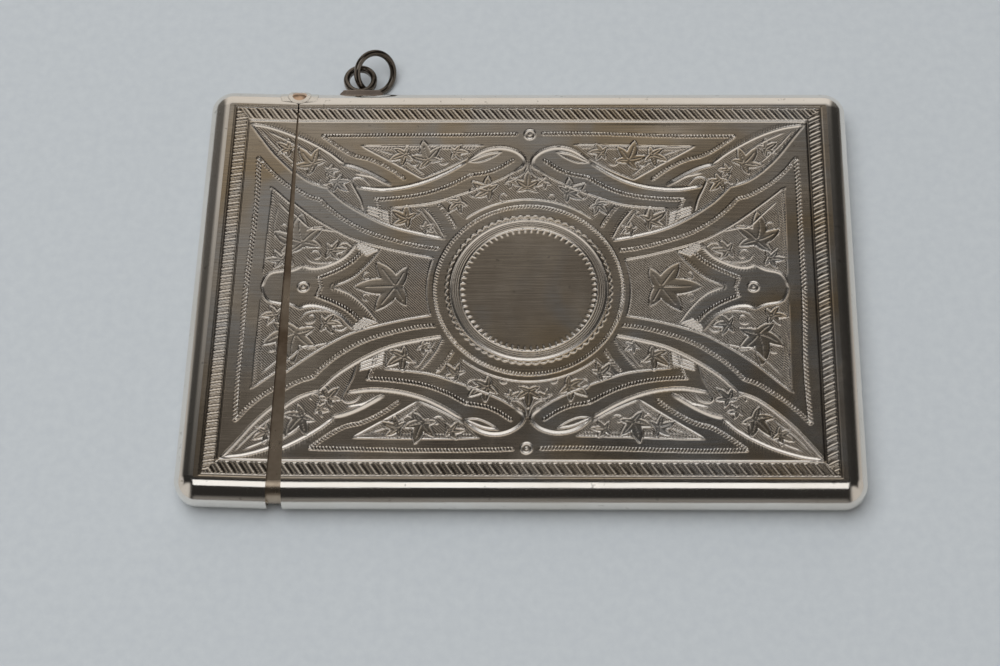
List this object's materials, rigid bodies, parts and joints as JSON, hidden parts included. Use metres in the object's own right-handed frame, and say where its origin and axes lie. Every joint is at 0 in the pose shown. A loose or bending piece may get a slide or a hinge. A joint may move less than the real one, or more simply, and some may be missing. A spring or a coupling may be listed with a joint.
{
  "type": "business card case",
  "caption": "Slim rectangular metal card case with half-round rims, a hinged end lid, an engraved front and a loop with a jump ring.",
  "frame": {"origin": "centre of the closed case's outline, on the flat back face that it lies on", "axes": "+X to the closed end with the lid at -X, +Y to the side with the hinge and the loop, +Z out of the engraved front face"},
  "size_m": [0.098, 0.0752, 0.0062],
  "materials": {
    "silver": "polished rims, engraved and lightly tarnished front",
    "bezel_silver": "tarnished brown, lightly scratched",
    "dark_silver": "dark oxidised, bright where rubbed",
    "pin_copper": "coppery, dull"
  },
  "bodies": {
    "case_body": {"body_front_shell": "silver", "body_back_shell": "silver", "mouth_bezel": "bezel_silver", "catch_pip": "bezel_silver", "body_joint_bearer": "silver", "body_knuckle": "silver", "ring_plate": "dark_silver", "ring_loop": "dark_silver"},
    "lid": {"lid_front_shell": "silver", "lid_back_shell": "silver", "lid_joint_bearer": "silver", "lid_knuckle_front": "silver", "lid_knuckle_back": "silver", "hinge_pin": "pin_copper"},
    "jump_ring": {"jump_ring": "dark_silver"}
  },
  "joints": [
    {"name": "lid_hinge", "type": "hinge", "parent": "case_body", "child": "lid", "pos_m": [-0.0347, 0.0326, 0.0031], "axis": [0, 0, -1], "range_deg": [-1.8, 98]},
    {"name": "jump_ring_swing", "type": "hinge", "parent": "case_body", "child": "jump_ring", "pos_m": [-0.02597, 0.03657, 0.0031], "axis": [0.8192, 0.5736, 0], "range_deg": [-1, 90]}
  ]
}
